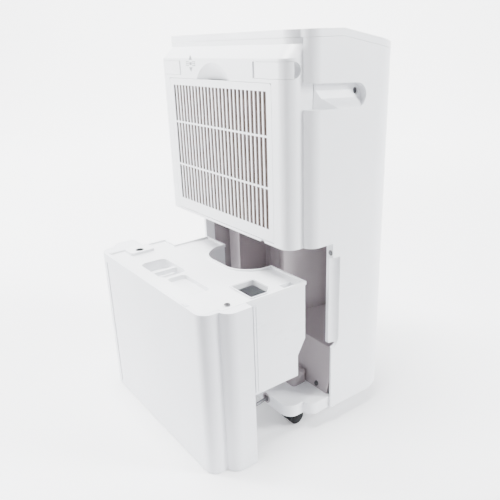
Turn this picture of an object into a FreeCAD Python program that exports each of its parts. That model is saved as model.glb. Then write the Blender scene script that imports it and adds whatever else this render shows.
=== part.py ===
"""Rear-tank dehumidifier, millimetres, +Z up, origin on the floor under the middle of the whole set.

-Y is the service side, which holds the air filter and the water tank. +Y is the side that faces the room.
The tank is drawn out of its bay and stands on the floor in front of the service side.
"""
import FreeCAD, Part
import math
import os

V = FreeCAD.Vector

# ---- outside of the machine ----
HALF_W = 175.0            # half of the whole width
FACE_Y = -37.0            # service face of the narrow front block
BODY_Y = -11.0            # service-side plane of the wide main body
FRONT_Y = 178.0           # middle of the bowed room-side face
LOBE_HALF = 160.5         # half width of the narrow front block
LOBE_R = 17.5             # corner radius of both blocks on the service side
CORNER_R = 60.0           # corner radius on the room side
BOW_R = 799.2             # radius of the bowed room-side face
WALL = 3.0

BASE_Z = 28.0             # underside of the base
FOOT_Z = 47.5             # top of the base foot
BAY_TOP = 299.0           # lower edge of the filter housing
SHOULDER_Z = 545.0        # where the housing starts to slope back
NECK_Z = 561.0            # where the slope ends
NECK_Y = -22.0
NECK_R = 24.0
SEAM_Z = 568.0            # seam under the top cover
TOP_Z = 577.5
SLOPE_Y = 45.0            # the top falls away towards the room from here
SLOPE = 0.19

# ---- tank bay and tank ----
RIM_Y = 32.0              # front edge of the bay's side walls
BAY_HALF = 162.0          # inner half width of the bay
BAY_BACK = 137.5
LIP_Y = 52.0              # front edge of the ramp that carries the tank
LIP_Z = 116.5
RAMP_GAP = 2.0
TANK_OUT = 141.0          # how far the tank stands out of its seat
TANK_DROP = 49.0          # how far it comes down on the way
TANK_SLOPE = TANK_DROP / TANK_OUT
PANEL_TOP = 296.5
PANEL_BOTTOM = 49.8
LID_Z = 291.5
TANK_Z = 148.0
TANK_BACK = 136.0
TANK_RIGHT = 158.0
TANK_LEFT = -135.0
TANK_LEFT_BACK = -99.0
TANK_STEP_Y = 71.0
TANK_NECK_X = 152.0      # the tank is narrower inside the front block of its panel
TANK_NECK_Y = -5.5
NOTCH_X = 18.0            # middle of the tank's hollow for the compressor cover
NOTCH_HALF = 63.5
NOTCH_Y = 83.0
NOTCH_R = 46.0
COVER_R = 58.0
COVER_Y = 146.0

# ---- filter ----
FILTER_HALF = 130.0
FILTER_TOP = 515.4
FILTER_BOTTOM = 304.0
SLOTS = 26
SLOT_SPAN = 239.0
SLOT_W = 6.5
SLOT_ROWS = ((321.0, 378.0), (380.6, 447.0), (449.6, 505.5))
THUMB_X = -4.0
TILT_Y = -35.8            # axis on which the filter tips out
TILT_Z = 305.2
TILT_R = 1.1

# ---- hooks, handles, scoops ----
HOOK_X = 93.0
HOOK_Z = (521.0, 541.0)
HOOK_T = 3.2
HOOK_TIP_Y = -24.0
PIN_X = 96.6
FLAP_X = 96.2
PIN_Y = -33.1
HANDLE_Y = 72.0
HANDLE_Z = (483.0, 515.0)
HANDLE_DEPTH = 13.0
HANDLE_TILT = -2.6
SCOOP_Z = (130.0, 277.0)

# ---- casters ----
CASTERS = {"rear_left": (-131.0, -14.0), "rear_right": (131.0, -14.0),
           "front_left": (-128.0, 128.0), "front_right": (128.0, 128.0)}
WHEEL_R = 12.5
WHEEL_W = 11.0
WEB_HALF = 2.0
TRAIL = 5.0
STEM_R = 4.0
AXLE_R = 2.0
FIT = 0.05                # radial clearance of a shaft that turns

# ---- air path ----
FAN_Z = 425.0
FAN_R = 78.0
SCROLL_R = 92.0
SCROLL_Y = (16.0, 82.0)
BLADES = 28
SHAFT_R = 4.0

# ---- top ----
LOUVRE_HALF = 104.0
LOUVRE_Y = (2.0, 42.0)
HINGE_R = 2.6
PANEL_HALF = 78.0
PANEL_Y = (78.0, 128.0)
BUTTON_XS = (-60.0, -36.0, 36.0, 60.0)
BUTTON_R = 7.0
BUTTON_Y = 103.0


# ================= helpers =================
def box(x0, x1, y0, y1, z0, z1):
    return Part.makeBox(x1 - x0, y1 - y0, z1 - z0, V(x0, y0, z0))


def cyl(radius, start, end):
    start, end = V(*start), V(*end)
    return Part.makeCylinder(radius, (end - start).Length, start, end - start)


def ball(radius, centre):
    return Part.makeSphere(radius, V(*centre))


def fuse(shapes):
    shapes = list(shapes)
    whole = shapes[0].fuse(shapes[1:]) if len(shapes) > 1 else shapes[0]
    return whole.removeSplitter()


def cut(shape, *tools):
    for tool in tools:
        shape = shape.cut(tool)
    return shape


def mirror(shape):
    return shape.mirror(V(0, 0, 0), V(1, 0, 0))


def pair(shape):
    return Part.makeCompound([shape, mirror(shape)])


def polar(centre, radius, angle):
    turn = math.radians(angle)
    return V(centre[0] + radius * math.cos(turn), centre[1] + radius * math.sin(turn), 0)


def arc(centre, radius, a0, a1):
    points = [polar(centre, radius, a) for a in (a0, (a0 + a1) / 2, a1)]
    return Part.Arc(*points).toShape()


def line(a, b):
    return Part.LineSegment(V(a[0], a[1], 0), V(b[0], b[1], 0)).toShape()


def closed(edges):
    return Part.Face(Part.Wire(edges))


def prism(face, z0, z1):
    return face.translated(V(0, 0, z0)).extrude(V(0, 0, z1 - z0))


def side_prism(points, x0, x1):
    """Extrude a (y, z) outline along X."""
    corners = [V(x0, y, z) for y, z in points]
    return Part.Face(Part.makePolygon(corners + corners[:1])).extrude(V(x1 - x0, 0, 0))


def end_prism(points, y0, y1):
    """Extrude an (x, z) outline along Y."""
    corners = [V(x, y0, z) for x, z in points]
    return Part.Face(Part.makePolygon(corners + corners[:1])).extrude(V(0, y1 - y0, 0))


def rounded(x0, x1, y0, y1, r):
    """Rectangle in plan with four equal corner arcs."""
    return closed([
        line((x0 + r, y0), (x1 - r, y0)), arc((x1 - r, y0 + r), r, -90, 0),
        line((x1, y0 + r), (x1, y1 - r)), arc((x1 - r, y1 - r), r, 0, 90),
        line((x1 - r, y1), (x0 + r, y1)), arc((x0 + r, y1 - r), r, 90, 180),
        line((x0, y1 - r), (x0, y0 + r)), arc((x0 + r, y0 + r), r, 180, 270)])


# ================= plan outlines =================
def body_plan(inset=0.0):
    """Wide main body: square to the service side, bowed towards the room."""
    half = HALF_W - inset
    small = LOBE_R - inset
    big = CORNER_R - inset
    bow = BOW_R - inset
    cx = HALF_W - CORNER_R
    bow_y = FRONT_Y - BOW_R
    cy = bow_y + math.sqrt((BOW_R - CORNER_R) ** 2 - cx ** 2)
    meet = math.degrees(math.atan2(cy - bow_y, cx))
    y0 = BODY_Y + inset
    yc = y0 + small
    return closed([
        line((small - half, y0), (half - small, y0)), arc((half - small, yc), small, -90, 0),
        line((half, yc), (half, cy)), arc((cx, cy), big, 0, meet),
        arc((0, bow_y), bow, meet, 180 - meet), arc((-cx, cy), big, 180 - meet, 180),
        line((-half, cy), (-half, yc)), arc((small - half, yc), small, 180, 270)])


def lobe_plan(inset=0.0, front=FACE_Y, radius=LOBE_R, back=6.0):
    """Narrow block in front of the main body, rounded at its two outer corners."""
    half = LOBE_HALF - inset
    y0 = front + inset
    r = radius - inset
    return closed([
        line((r - half, y0), (half - r, y0)), arc((half - r, y0 + r), r, -90, 0),
        line((half, y0 + r), (half, back)), line((half, back), (-half, back)),
        line((-half, back), (-half, y0 + r)), arc((r - half, y0 + r), r, 180, 270)])


def two_lobe(inset, z0, z1):
    return fuse([prism(body_plan(inset), z0, z1), prism(lobe_plan(inset, back=20.0), z0, z1)])


def top_height(y):
    return -max(0.0, y - SLOPE_Y) * SLOPE


def below(z, drop_x=300.0):
    """Everything under the level z, which falls away past SLOPE_Y."""
    far = FRONT_Y + 20
    points = [(-200, 0), (far, 0), (far, z + top_height(far)), (SLOPE_Y, z), (-200, z)]
    return side_prism(points, -drop_x, drop_x)


# ================= casings =================
def handle_recess():
    """Hand recess along the right side, deepest under its upper lip."""
    low, high = HANDLE_Z
    deep = HALF_W - HANDLE_DEPTH
    out = HALF_W + 10
    section = [(out, high), (deep, high), (deep, high - 9), (deep + 3, high - 19), (HALF_W, low), (out, low)]
    cutter = end_prism(section, BODY_Y - 10, HANDLE_Y + 20)
    middle = (low + high) / 2
    half = (high - low) / 2
    end = fuse([cyl(half, (deep - 1, HANDLE_Y, middle), (out, HANDLE_Y, middle)),
                box(deep - 1, out, BODY_Y - 10, HANDLE_Y, low, high)])
    corner = [(156, -20), (195, -20), (195, 42), (175.5, 42), (158.5, 1)]
    edges = [line(a, b) for a, b in zip(corner, corner[1:] + corner[:1])]
    recess = cutter.common(end).fuse(prism(closed(edges), low, high))
    recess.rotate(V(0, BODY_Y, high), V(1, 0, 0), HANDLE_TILT)
    return recess


def handle_block():
    low, high = HANDLE_Z
    block = box(158.0, HALF_W - 1, 7.0, HANDLE_Y + 22, low - 8, high + 3.5)
    front = box(161.0, HALF_W - 1, BODY_Y + 0.5, 7.0, low - 8, high + 3.5)
    return block.fuse(front).common(prism(body_plan(0.5), low - 10, high + 10))


def handle_hole():
    return cyl(4.6, (159.2, 79.5, 500), (170, 79.5, 500))


def scoop():
    """Finger scoop in the outer corner of the bay's rim."""
    low, high = SCOOP_Z
    r = 17.0
    centre = (HALF_W + 9.5, RIM_Y)
    return fuse([cyl(r, (*centre, low + r), (*centre, high)), ball(r, (*centre, low + r))])


def make_main_shell():
    outer = prism(body_plan(), BASE_Z, TOP_Z).common(below(SEAM_Z))
    shell = outer.cut(prism(body_plan(WALL), BASE_Z - 1, TOP_Z + 1))
    shell = cut(shell, box(-161, 161, -40, BODY_Y + 8, BAY_TOP - 1, TOP_Z),
                box(-200, 200, -60, RIM_Y, 0, BAY_TOP))
    corner = prism(body_plan(), BAY_TOP, BAY_TOP + WALL)
    corner = corner.common(box(161, 200, -60, RIM_Y + 1, BAY_TOP, BAY_TOP + WALL))
    post = box(BAY_HALF, HALF_W - 1, RIM_Y, RIM_Y + 18, 140, BAY_TOP + WALL)
    post = post.cut(scoop())
    right = fuse([corner, post, handle_block()])
    shell = fuse([shell, right, mirror(right)])
    screw = cyl(1.65, (170, RIM_Y - 1, 284), (170, RIM_Y + 9, 284))
    tools = Part.makeCompound([handle_recess(), scoop(), handle_hole(), screw])
    return cut(shell, tools, mirror(tools))


def housing_block(inset, z0, z1):
    low = lobe_plan(inset)
    high = lobe_plan(inset, NECK_Y, NECK_R)
    wires = [low.OuterWire.translated(V(0, 0, SHOULDER_Z)), high.OuterWire.translated(V(0, 0, NECK_Z))]
    return fuse([prism(low, z0, SHOULDER_Z), Part.makeLoft(wires, True, True), prism(high, NECK_Z, z1)])


def lobe_skin(depth, z0, z1, over=0.0):
    """Band of the front block's outside, depth mm thick, right-hand part."""
    band = prism(lobe_plan(-over), z0, z1).cut(prism(lobe_plan(depth, back=9.0), z0 - 1, z1 + 1))
    return band.common(box(0, 200, -60, -9, z0, z1))


def hook_pocket():
    low, high = HOOK_Z
    gap = 0.4
    pocket = lobe_skin(9.5, low - gap, high + gap, 2.0)
    pocket = pocket.common(box(HOOK_X - 1.0, 200, -60, HOOK_TIP_Y + gap, 0, 600))
    return fuse([pocket, ball(9.9, (LOBE_HALF - 1.0, HOOK_TIP_Y + 0.3, (low + high) / 2))])


def thumb_recess():
    reach, depth, z = 52.0, 16.0, 487.5
    radius = (reach ** 2 + depth ** 2) / (2 * depth)
    return ball(radius, (THUMB_X, FACE_Y + depth - radius, z))


def make_service_housing():
    block = housing_block(0, BAY_TOP, SEAM_Z)
    low_hollow = prism(lobe_plan(WALL, back=9.0), BAY_TOP + WALL, SHOULDER_Z - 1)
    high_hollow = prism(lobe_plan(WALL, NECK_Y, NECK_R, 9.0), BAY_TOP + WALL, SEAM_Z + 5)
    shell = cut(block, low_hollow, high_hollow)
    low, high = HOOK_Z
    pocket_wall = lobe_skin(12.5, low - 3.4, high + 3.4)
    pocket_wall = pocket_wall.common(box(HOOK_X - 3.4, 200, -60, -9, 0, 600))
    ledge = box(-136, 136, FACE_Y + 2.5, -28.5, BAY_TOP, FILTER_TOP + 4)
    ledge = ledge.cut(box(-123, 123, -60, 0, 316, 509))
    thumb_wall = box(THUMB_X - 49, THUMB_X + 49, FACE_Y + 2.5, -22.0, FILTER_TOP + 0.4, 543)
    shell = fuse([shell, pocket_wall, mirror(pocket_wall), ledge, thumb_wall])
    opening = box(-FILTER_HALF - 0.5, FILTER_HALF + 0.5, -60, -31.0, FILTER_BOTTOM - 1.0, FILTER_TOP + 0.5)
    pivots = cyl(TILT_R + FIT, (-FILTER_HALF - 2.2, TILT_Y, TILT_Z), (FILTER_HALF + 2.2, TILT_Y, TILT_Z))
    pins = cyl(1.5, (PIN_X, PIN_Y, low - 3), (PIN_X, PIN_Y, high + 3))
    notch = cyl(4.6, (104, -60, BAY_TOP), (104, -32.0, BAY_TOP))
    shell = cut(shell, opening, pivots, notch, hook_pocket(), mirror(hook_pocket()), thumb_recess())
    return cut(shell, pins, mirror(pins))


def cover_plan(inset, z0, z1):
    front = lobe_plan(inset, NECK_Y, NECK_R, back=20.0)
    return fuse([prism(body_plan(inset), z0, z1), prism(front, z0, z1)])


def slope_frame(y, x=0.0, lift=0.0):
    """Placement of a thing that stands on the sloping part of the top."""
    tilt = -math.degrees(math.atan(SLOPE))
    spot = V(x, y, TOP_Z + top_height(y))
    turn = FreeCAD.Rotation(V(1, 0, 0), tilt)
    return FreeCAD.Placement(spot + turn.multVec(V(0, 0, lift)), turn)


def placed(shape, placement):
    moved = shape.copy()
    moved.Placement = placement
    return moved


def make_top_cover():
    whole = cover_plan(0, SEAM_Z - 40, TOP_Z).common(below(TOP_Z)).cut(below(SEAM_Z + 0.3))
    inside = cover_plan(WALL, SEAM_Z - 60, TOP_Z).common(below(TOP_Z - WALL))
    cover = whole.cut(inside)
    y0, y1 = LOUVRE_Y
    mouth = prism(rounded(-LOUVRE_HALF - 0.6, LOUVRE_HALF + 0.6, y0 - 0.6, y1 + 0.6, 1.2), 540, 600)
    frame = prism(rounded(-LOUVRE_HALF - 4, LOUVRE_HALF + 4, y0 - 4, y1 + 4, 6), SEAM_Z, TOP_Z - 1)
    cover = fuse([cover, frame]).cut(mouth)
    middle = (PANEL_Y[0] + PANEL_Y[1]) / 2
    half = (PANEL_Y[1] - PANEL_Y[0]) / 2
    dish = prism(rounded(-PANEL_HALF - 0.3, PANEL_HALF + 0.3, -half - 0.3, half + 0.3, 8.3), -1.5, 5)
    tools = [placed(dish, slope_frame(middle))]
    for x in BUTTON_XS:
        tools.append(placed(cyl(BUTTON_R + 0.5, (0, 0, -10), (0, 0, 5)), slope_frame(BUTTON_Y, x)))
    tools.append(placed(box(-20, 20, -9, 9, -10, 5), slope_frame(BUTTON_Y)))
    pin_y, pin_z = LOUVRE_Y[0] + HINGE_R, TOP_Z - HINGE_R
    tools.append(cyl(1.5 + FIT, (-LOUVRE_HALF - 3.5, pin_y, pin_z), (LOUVRE_HALF + 3.5, pin_y, pin_z)))
    return cut(cover, *tools)


def make_base_tray():
    foot = fuse([prism(body_plan(3.6), BASE_Z, FOOT_Z),
                 prism(lobe_plan(3.5, FACE_Y - 3.5, 21.0, 20.0), BASE_Z, FOOT_Z)])
    foot = foot.common(box(-200, 200, -60, RIM_Y + 3, BASE_Z, FOOT_Z))
    hollow = fuse([prism(body_plan(6.6), BASE_Z - 1, FOOT_Z - WALL),
                   prism(lobe_plan(6.5, FACE_Y - 3.5, 21.0, 20.0), BASE_Z - 1, FOOT_Z - WALL)])
    hollow = hollow.common(box(-200, 200, -60, RIM_Y, 0, FOOT_Z))
    floor = prism(body_plan(3.5), BASE_Z + 3, BASE_Z + 6).common(box(-200, 200, RIM_Y, 300, 0, 100))
    bosses = [cyl(9, (x, y, BASE_Z), (x, y, FOOT_Z - 1)) for x, y in CASTERS.values()]
    bores = [cyl(STEM_R + FIT, (x, y, 0), (x, y, FOOT_Z - 3)) for x, y in CASTERS.values()]
    tray = fuse([foot.cut(hollow), floor] + bosses)
    port = cyl(8.5, (103, -60, 38), (103, -20, 38))
    gland = cyl(7.0, (-112, -60, 38), (-112, -20, 38))
    return cut(tray, *bores, port, gland)


def ramp_height(y):
    return TANK_Z - RAMP_GAP - TANK_SLOPE * (TANK_BACK - y)


def make_bay_liner():
    far = BAY_BACK + 2.5
    foot_y = RIM_Y + 0.5
    top = BAY_TOP + 3.0
    profile = [(foot_y, FOOT_Z + 0.3), (LIP_Y, LIP_Z), (LIP_Y + 1, ramp_height(LIP_Y + 1)),
               (BAY_BACK, ramp_height(BAY_BACK)), (BAY_BACK, top), (-27.0, top), (-27.0, top + 2.5),
               (far, top + 2.5), (far, ramp_height(far) - 3), (LIP_Y + 2.5, ramp_height(LIP_Y) - 4),
               (foot_y + 3, FOOT_Z + 0.3)]
    sheet = side_prism(profile, -BAY_HALF - 2.5, BAY_HALF + 2.5)
    wall = side_prism([(RIM_Y + 18.4, ramp_height(RIM_Y + 18.4) + 4), (far, ramp_height(far) - 3),
                       (far, top + 2.5),
                       (RIM_Y + 18.4, top + 2.5)], BAY_HALF, BAY_HALF + 2.5)
    hole = cyl(COVER_R + 0.4, (NOTCH_X, COVER_Y, 60), (NOTCH_X, COVER_Y, top - 0.2))
    spout = cyl(7, (125, 62, 280), (125, 62, 320))
    edge = box(157, 200, -60, 10, top - 1, top + 5)
    post = box(BAY_HALF - 0.4, 200, RIM_Y - 1, RIM_Y + 18.3, 100, BAY_TOP + 3)
    duct = box(-151, -118.5, 76, BAY_BACK + 1, ramp_height(BAY_BACK) - 20, top + 1)
    duct = duct.cut(box(-149, -120.5, 78, BAY_BACK + 2, 0, top + 2))
    liner = fuse([sheet, wall, mirror(wall), duct]).common(prism(body_plan(WALL + 0.4), 0, 400))
    return cut(liner, hole, spout, edge, mirror(edge), post, mirror(post))


def make_compressor_cover():
    tube = cyl(COVER_R, (NOTCH_X, COVER_Y, 108), (NOTCH_X, COVER_Y, BAY_TOP + 2.6))
    tube = tube.cut(cyl(COVER_R - 2.5, (NOTCH_X, COVER_Y, 100), (NOTCH_X, COVER_Y, BAY_TOP)))
    return tube.common(box(-200, 200, 0, BAY_BACK, 0, 400))


def make_pedestal():
    r = 17.0
    block = side_prism([(5, FOOT_Z), (RIM_Y - 0.3, FOOT_Z), (RIM_Y - 0.3, 68), (5 + r, 68)], -160, 119)
    return block.makeFillet(5, [e for e in block.Edges if abs(e.CenterOfMass.x - 119) < 0.1
                                and e.CenterOfMass.z > FOOT_Z + 5])


# ================= tank =================
def at_rest(shape):
    """Carry a piece from the tank's seat to where the drawn-out tank stands."""
    return shape.translated(V(0, -TANK_OUT, -TANK_DROP))


def tank_plan(inset=0.0, front=-30.0):
    x0, x1, x2 = TANK_LEFT + inset, TANK_LEFT_BACK + inset, TANK_RIGHT - inset
    y0, y1, y2 = front + inset, TANK_STEP_Y - inset, TANK_BACK - inset
    left, right = NOTCH_X - NOTCH_HALF - inset, NOTCH_X + NOTCH_HALF + inset
    yn, r = NOTCH_Y - inset, NOTCH_R + inset
    xs, ys = TANK_NECK_X - inset, TANK_NECK_Y + inset
    return closed([
        line((x0, y0), (xs, y0)), line((xs, y0), (xs, ys)),
        line((xs, ys), (x2, ys)), line((x2, ys), (x2, y2)), line((x2, y2), (right, y2)),
        line((right, y2), (right, yn + r)), arc((right - r, yn + r), r, 0, -90),
        line((right - r, yn), (left + r, yn)), arc((left + r, yn + r), r, -90, -180),
        line((left, yn + r), (left, y2)), line((left, y2), (x1, y2)), line((x1, y2), (x1, y1)),
        line((x1, y1), (x0, y1)), line((x0, y1), (x0, y0))])


def back_step(inset):
    """The tank's back wall steps forward near its bottom."""
    y = TANK_BACK - 14 - inset
    points = [(y, 0), (300, 0), (300, 206), (TANK_BACK - inset, 206), (y, 182)]
    return side_prism(points, -200, 200)


def make_tank_body():
    outer = prism(tank_plan(), TANK_Z, LID_Z).cut(back_step(0))
    inner = prism(tank_plan(2.5), TANK_Z + 2.5, LID_Z + 1).cut(back_step(2.5))
    ribs = [box(TANK_RIGHT - 0.5, TANK_RIGHT + 1.3, 44, 47, TANK_Z + 4, LID_Z - 6),
            box(TANK_RIGHT - 0.5, TANK_RIGHT + 0.9, 49, 50.4, TANK_Z + 4, LID_Z - 6)]
    return at_rest(fuse([outer.cut(inner)] + ribs))


def fill_opening(z0, z1):
    x0, x1, y0, y1, c = 102.0, 151.0, 47.0, 86.0, 12.0
    face = closed([line((x0, y0), (x1, y0)), line((x1, y0), (x1, y1 - c)), line((x1, y1 - c), (x1 - c, y1)),
                   line((x1 - c, y1), (x0, y1)), line((x0, y1), (x0, y0))])
    return prism(face, z0, z1)


def make_tank_lid():
    slab = prism(tank_plan(-1.2, front=-28.8), LID_Z, LID_Z + 2.5)
    rim = prism(tank_plan(-1.2, front=-28.8), LID_Z + 2.5, PANEL_TOP)
    rim = rim.cut(prism(tank_plan(1.3, front=-60), LID_Z, PANEL_TOP + 1))
    plug = prism(tank_plan(2.9), LID_Z - 3, LID_Z)
    plug = plug.cut(prism(tank_plan(5.0), LID_Z - 4, LID_Z + 1))
    pocket_out = prism(rounded(-64, 12, -14, 33, 12), LID_Z - 16, LID_Z + 2.5)
    pocket_in = prism(rounded(-62, 10, -12, 31, 10), LID_Z - 14, LID_Z + 5)
    tray_out = prism(rounded(16, 92, -10, 24, 8), LID_Z - 6, LID_Z + 2.5)
    tray_in = prism(rounded(18, 90, -8, 22, 6), LID_Z - 4, LID_Z + 5)
    lip = prism(rounded(99.5, 153.5, 44.5, 88.5, 3), LID_Z - 5, LID_Z + 2.5)
    lip = lip.cut(fill_opening(LID_Z - 6, LID_Z + 3.5))
    step = prism(rounded(-133.5, -103, -6, 36, 5), LID_Z + 2.5, PANEL_TOP + 2.2)
    notch = box(141.5, 152.5, 102, 122, LID_Z - 8, PANEL_TOP + 1)
    notch_wall = box(139.5, 154.2, 100, 124, LID_Z - 10, LID_Z + 1)
    grip = box(-31, -25, -13, 32, LID_Z - 9, LID_Z - 2)
    lid = fuse([slab, rim, notch_wall, plug.cut(fill_opening(0, 400)), pocket_out, tray_out, lip, step])
    lid = cut(lid, pocket_in.cut(grip), tray_in, fill_opening(LID_Z - 9, LID_Z + 9), notch,
              cyl(7, (-113, 13, 200), (-113, 13, 400)), cyl(1.75, (147, 11, 200), (147, 11, 400)))
    return at_rest(lid)


def make_tank_panel():
    outer = two_lobe(0, PANEL_BOTTOM, PANEL_TOP)
    inner = two_lobe(WALL, PANEL_BOTTOM - 1, PANEL_TOP - WALL)
    reach = box(-200, 200, -60, RIM_Y - 1, 0, 400)
    skin = outer.cut(inner).common(reach)
    plate = box(-200, 200, -60, RIM_Y - 1, LID_Z - 0.6, PANEL_TOP + 1)
    body = prism(tank_plan(-1.7, front=-29.3), LID_Z - 30, PANEL_TOP + 1)
    skin = skin.cut(body.common(plate))
    slot = box(-136.2, -132.8, FACE_Y - 5, FACE_Y + 1.8, PANEL_BOTTOM + 6, PANEL_TOP - 14)
    catch = fuse([cyl(2.6, (114, FACE_Y + 4, PANEL_TOP - 1), (114, FACE_Y + 4, PANEL_TOP + 1.6)),
                  box(108, 120, FACE_Y + 1.5, FACE_Y + 6.5, PANEL_TOP - 1, PANEL_TOP + 1.2)])
    stay = box(-120, 150, FACE_Y + WALL - 0.5, -30.0, TANK_Z + 10, TANK_Z + 40)
    return at_rest(fuse([skin, catch, stay]).cut(slot))


def make_float():
    block = prism(rounded(-92, -62, 45, 68, 5), 240, 262)
    return at_rest(block)


def make_float_arm():
    bar = box(-79, -75, 38.5, 60, 262, 265)
    neck = box(-79, -75, 36, 40, 262, 286)
    eye = cyl(3.4, (-79, 38, 285), (-75, 38, 285)).cut(cyl(1.5 + FIT, (-80, 38, 285), (-74, 38, 285)))
    arm = fuse([bar, neck, eye]).cut(cyl(1.5 + FIT, (-80, 38, 285), (-74, 38, 285)))
    return at_rest(arm)


def make_float_bracket():
    ears = [box(-83, -80, 34, 42, 281, 290), box(-74, -71, 34, 42, 281, 290)]
    bar = box(-83, -71, 34, 42, 289.5, LID_Z)
    pin = cyl(1.5, (-83, 38, 285), (-71, 38, 285))
    return at_rest(fuse(ears + [bar, pin]))


def make_tank_screws():
    top = LID_Z + 2.5
    screw = fuse([cyl(1.7, (147, 11, LID_Z), (147, 11, top)),
                  cyl(3.6, (147, 11, top), (147, 11, top + 1.2))])
    return at_rest(screw)


# ================= filter and hooks =================
def make_filter_frame():
    plate = box(-FILTER_HALF, FILTER_HALF, FACE_Y, FACE_Y + 2.5, FILTER_BOTTOM, FILTER_TOP)
    skirt = box(-FILTER_HALF, FILTER_HALF, FACE_Y, -31.6, FILTER_BOTTOM, FILTER_TOP)
    skirt = skirt.cut(box(-FILTER_HALF + 2, FILTER_HALF - 2, -60, 0, FILTER_BOTTOM + 2, FILTER_TOP - 2))
    frame = fuse([plate, skirt])
    corners = [e for e in frame.Edges if abs(e.Length - 5.4) < 0.01
               and e.CenterOfMass.z > FILTER_TOP - 1 and abs(e.CenterOfMass.x) > FILTER_HALF - 1]
    frame = frame.makeFillet(4, corners)
    pitch = (SLOT_SPAN - SLOT_W) / (SLOTS - 1)
    slots = []
    for low, high in SLOT_ROWS:
        for i in range(SLOTS):
            x = -SLOT_SPAN / 2 + i * pitch
            slots.append(box(x, x + SLOT_W, -60, FACE_Y + 3, low, high))
    span = SLOT_SPAN / 2 + 2
    thin = box(-span, span, FACE_Y + 1.1, -31, SLOT_ROWS[0][0] - 2, SLOT_ROWS[-1][1] + 2)
    stub = cyl(TILT_R, (FILTER_HALF - 1, TILT_Y, TILT_Z), (FILTER_HALF + 2, TILT_Y, TILT_Z))
    frame = frame.cut(thin).cut(Part.makeCompound(slots))
    return fuse([frame, stub, mirror(stub)])


def make_filter_mesh():
    return box(-FILTER_HALF + 2.4, FILTER_HALF - 2.4, FACE_Y + 2.8, FACE_Y + 4.0, FILTER_BOTTOM + 2.4,
               FILTER_TOP - 2.4)


def make_hook():
    low, high = HOOK_Z
    flap = lobe_skin(HOOK_T, low, high).common(box(FLAP_X, 200, -60, HOOK_TIP_Y, 0, 600))
    barrel = cyl(3.2, (PIN_X, PIN_Y, low), (PIN_X, PIN_Y, high))
    lip = lobe_skin(6.5, low + 5, high - 5).common(box(150, 200, -60, HOOK_TIP_Y - 3, 0, 600))
    lip = lip.common(box(156, 200, -60, 0, 0, 600))
    return cut(fuse([flap, barrel, lip]), cyl(1.5 + FIT, (PIN_X, PIN_Y, low - 1), (PIN_X, PIN_Y, high + 1)))


def make_hook_pins():
    low, high = HOOK_Z
    return pair(cyl(1.5, (PIN_X, PIN_Y, low - 3), (PIN_X, PIN_Y, high + 3)))


# ================= top =================
def make_louvre():
    y0, y1 = LOUVRE_Y
    pin_y, pin_z = y0 + HINGE_R, TOP_Z - HINGE_R
    blade = prism(rounded(-LOUVRE_HALF, LOUVRE_HALF, y0 - 8, y1, 3.4), TOP_Z - 2.2, TOP_Z)
    blade = blade.common(box(-200, 200, pin_y, 100, 0, 600))
    barrel = cyl(HINGE_R, (4 - LOUVRE_HALF, pin_y, pin_z), (LOUVRE_HALF - 4, pin_y, pin_z))
    pin = cyl(1.5, (-LOUVRE_HALF - 3.4, pin_y, pin_z), (LOUVRE_HALF + 3.4, pin_y, pin_z))
    return fuse([blade, barrel, pin])


def make_outlet_grille():
    y0, y1 = LOUVRE_Y
    ring = prism(rounded(-LOUVRE_HALF - 3, LOUVRE_HALF + 3, y0 - 3, y1 + 3, 5), 562, 564.5)
    ring = ring.cut(box(-LOUVRE_HALF + 3, LOUVRE_HALF - 3, y0 + 3, y1 - 3, 550, 570))
    bars = [box(x - 0.8, x + 0.8, y0 + 2, y1 - 2, 562, 564.5) for x in range(-96, 97, 12)]
    return fuse([ring] + bars)


def make_control_panel():
    middle = (PANEL_Y[0] + PANEL_Y[1]) / 2
    half = (PANEL_Y[1] - PANEL_Y[0]) / 2
    sheet = placed(prism(rounded(-PANEL_HALF, PANEL_HALF, -half, half, 8), -1.4, 0.2), slope_frame(middle))
    holes = [placed(cyl(BUTTON_R + 0.4, (0, 0, -5), (0, 0, 5)), slope_frame(BUTTON_Y, x)) for x in BUTTON_XS]
    return cut(sheet, *holes, placed(box(-19.4, 19.4, -8.4, 8.4, -5, 5), slope_frame(BUTTON_Y)))


def make_display_lens():
    return placed(box(-19, 19, -8, 8, -3.5, 0.4), slope_frame(BUTTON_Y))


def make_button(x):
    cap = fuse([cyl(BUTTON_R, (0, 0, -4.5), (0, 0, 1.6)), cyl(BUTTON_R + 2, (0, 0, -6.5), (0, 0, -4.5))])
    return placed(cap, slope_frame(BUTTON_Y, x))


# ================= casters =================
def caster_yoke(x, y):
    yw = y + TRAIL
    stem = cyl(STEM_R, (x, y, 26), (x, y, FOOT_Z - 4))
    disc = cyl(11, (x, y, 25.6), (x, y, 27.4))
    web = box(x - WEB_HALF, x + WEB_HALF, y - 9, yw + 9, WHEEL_R - 3, 26)
    hood = cyl(15.2, (x - 15.5, yw, WHEEL_R), (x + 15.5, yw, WHEEL_R))
    hood = hood.cut(cyl(13.2, (x - 20, yw, WHEEL_R), (x + 20, yw, WHEEL_R)))
    hood = hood.common(box(x - 20, x + 20, yw - 20, yw + 20, WHEEL_R + 4, 27.4))
    hole = cyl(AXLE_R, (x - 5, yw, WHEEL_R), (x + 5, yw, WHEEL_R))
    return fuse([stem, disc, web, hood]).cut(hole)


def caster_wheels(x, y):
    yw = y + TRAIL
    gap = 0.5
    wheels = []
    for side in (-1, 1):
        a, b = x + side * (WEB_HALF + gap), x + side * (WEB_HALF + gap + WHEEL_W)
        disc = cyl(WHEEL_R, (a, yw, WHEEL_R), (b, yw, WHEEL_R))
        disc = disc.makeFillet(1.5, [e for e in disc.Edges if abs(e.Length - 2 * math.pi * WHEEL_R) < 0.1])
        wheels.append(disc.cut(cyl(AXLE_R + FIT, (x - 30, yw, WHEEL_R), (x + 30, yw, WHEEL_R))))
    return Part.makeCompound(wheels)


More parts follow.
